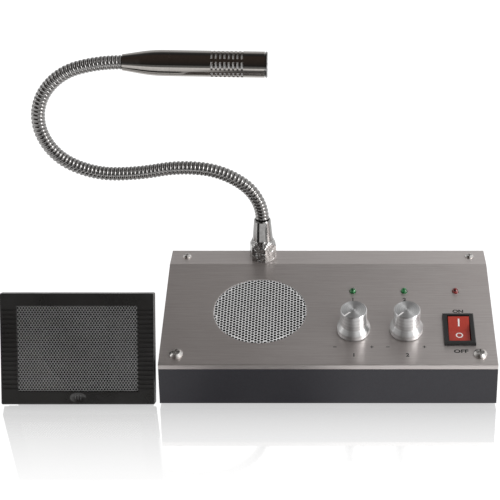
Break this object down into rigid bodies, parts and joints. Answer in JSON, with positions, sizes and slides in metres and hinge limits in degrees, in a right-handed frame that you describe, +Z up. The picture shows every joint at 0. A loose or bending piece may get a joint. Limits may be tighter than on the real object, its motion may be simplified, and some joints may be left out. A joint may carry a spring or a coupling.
{
  "type": "teller window intercom",
  "caption": "Counter intercom: sloping desk unit with gooseneck microphone, loudspeaker, volume knobs and rocker switch, and a tilting outer speaker unit.",
  "frame": {"origin": "on the counter, in the middle of the whole part's footprint; the middle of the desk unit's footprint is at x 0.0377 m, y 0.0015 m", "axes": "+X to the operator's right, +Y to the back of the desk unit, +Z up"},
  "size_m": [0.2346, 0.0887, 0.1513],
  "materials": {
    "panel_steel": "brushed along the width",
    "tray_paint": "fine-textured dark grey",
    "rubber": "matte",
    "screw_steel": "zinc-plated, satin",
    "grille_steel": "perforated sheet, satin",
    "driver_steel": "black",
    "driver_paper": "pressed fibre",
    "ferrite": "matte",
    "knob_metal": "turned, spun top",
    "bright_steel": "bright",
    "nickel": "polished nickel",
    "lamp_green": "tinted epoxy",
    "lamp_red": "tinted epoxy",
    "circuit_board": "solder mask",
    "black_plastic": "fine-textured",
    "outer_plastic": "satin dark grey",
    "rocker_red": "semi-gloss",
    "brass": "tinned",
    "heat_sink_alloy": "black anodised",
    "capacitor_can": "sleeved",
    "neck_chrome": "polished",
    "mic_metal": "polished",
    "stand_paint": "satin black"
  },
  "bodies": {
    "desk_unit": {"top_plate": "panel_steel", "base_tray": "tray_paint", "rubber_feet": "rubber", "front_screws": "screw_steel", "rear_screws": "screw_steel", "speaker_grille": "grille_steel", "speaker_gasket": "rubber", "speaker_basket": "driver_steel", "speaker_cone": "driver_paper", "speaker_magnet": "ferrite", "speaker_clips": "bright_steel", "pot_bodies": "bright_steel", "pot_nuts": "nickel", "left_lamp": "lamp_green", "middle_lamp": "lamp_green", "power_lamp": "lamp_red", "control_board": "circuit_board", "switch_frame": "black_plastic", "switch_terminals": "brass", "main_board": "circuit_board", "board_standoffs": "brass", "board_screws": "screw_steel", "heat_sink": "heat_sink_alloy", "capacitors": "capacitor_can", "power_inlet": "black_plastic", "outer_unit_socket": "black_plastic", "neck_nut": "neck_chrome", "neck_lock_nut": "screw_steel", "neck_sleeve": "neck_chrome", "neck_link_1": "neck_chrome", "stand_bracket": "stand_paint", "stand_pad": "rubber"},
    "left_volume": {"left_volume_knob": "knob_metal", "left_pot_shaft": "bright_steel"},
    "right_volume": {"right_volume_knob": "knob_metal", "right_pot_shaft": "bright_steel"},
    "rocker": {"switch_rocker": "rocker_red"},
    "outer_head": {"outer_bezel": "outer_plastic", "outer_mesh": "grille_steel", "outer_housing": "outer_plastic", "housing_screws": "screw_steel", "outer_speaker_frame": "driver_steel", "outer_speaker_cone": "driver_paper", "outer_speaker_magnet": "ferrite", "outer_mic_capsule": "bright_steel", "cable_grommet": "rubber", "pivot_screws": "stand_paint"},
    "neck_2": {"neck_link_2": "neck_chrome"},
    "neck_3": {"neck_link_3": "neck_chrome"},
    "neck_4": {"neck_link_4": "neck_chrome"},
    "neck_5": {"neck_link_5": "neck_chrome"},
    "neck_6": {"neck_link_6": "neck_chrome"},
    "neck_7": {"neck_link_7": "neck_chrome"},
    "neck_8": {"neck_link_8": "neck_chrome"},
    "microphone": {"neck_link_9": "neck_chrome", "mic_collar": "mic_metal", "mic_barrel": "mic_metal", "mic_screen": "grille_steel", "mic_capsule": "bright_steel", "mic_end_cap": "neck_chrome"}
  },
  "joints": [
    {"name": "left_volume_turn", "type": "hinge", "parent": "desk_unit", "child": "left_volume", "pos_m": [0.04955, -0.01996, 0.03241], "axis": [0, 0.2672, -0.9636], "range_deg": [0, 270]},
    {"name": "right_volume_turn", "type": "hinge", "parent": "desk_unit", "child": "right_volume", "pos_m": [0.07495, -0.01996, 0.03241], "axis": [0, 0.2672, -0.9636], "range_deg": [0, 270]},
    {"name": "rocker_press", "type": "hinge", "parent": "desk_unit", "child": "rocker", "pos_m": [0.10035, -0.01798, 0.02528], "axis": [-1, 0, 0], "range_deg": [0, 22]},
    {"name": "outer_head_tilt", "type": "hinge", "parent": "desk_unit", "child": "outer_head", "pos_m": [-0.08095, -0.02145, 0.0218], "axis": [-1, 0, 0], "range_deg": [0, 25]},
    {"name": "neck_bend_1", "type": "hinge", "parent": "desk_unit", "child": "neck_2", "pos_m": [-0.00512, 0.03619, 0.08176], "axis": [-0.6157, 0, -0.788], "range_deg": [-20, 20]},
    {"name": "neck_bend_2", "type": "hinge", "parent": "neck_2", "child": "neck_3", "pos_m": [-0.02511, 0.03619, 0.09004], "axis": [0, -1, 0], "range_deg": [-15, 15]},
    {"name": "neck_bend_3", "type": "hinge", "parent": "neck_3", "child": "neck_4", "pos_m": [-0.04692, 0.03619, 0.08937], "axis": [0.1822, 0, -0.9833], "range_deg": [-20, 20]},
    {"name": "neck_bend_4", "type": "hinge", "parent": "neck_4", "child": "neck_5", "pos_m": [-0.06869, 0.03619, 0.08737], "axis": [0, -1, 0], "range_deg": [-15, 15]},
    {"name": "neck_bend_5", "type": "hinge", "parent": "neck_5", "child": "neck_6", "pos_m": [-0.08976, 0.03619, 0.09252], "axis": [-0.4617, 0, -0.887], "range_deg": [-20, 20]},
    {"name": "neck_bend_6", "type": "hinge", "parent": "neck_6", "child": "neck_7", "pos_m": [-0.10348, 0.03619, 0.10887], "axis": [0, -1, 0], "range_deg": [-15, 15]},
    {"name": "neck_bend_7", "type": "hinge", "parent": "neck_7", "child": "neck_8", "pos_m": [-0.10062, 0.03619, 0.12988], "axis": [-0.8387, 0, 0.5446], "range_deg": [-20, 20]},
    {"name": "neck_bend_8", "type": "hinge", "parent": "neck_8", "child": "microphone", "pos_m": [-0.08334, 0.03619, 0.14255], "axis": [0, -1, 0], "range_deg": [-15, 15]}
  ]
}
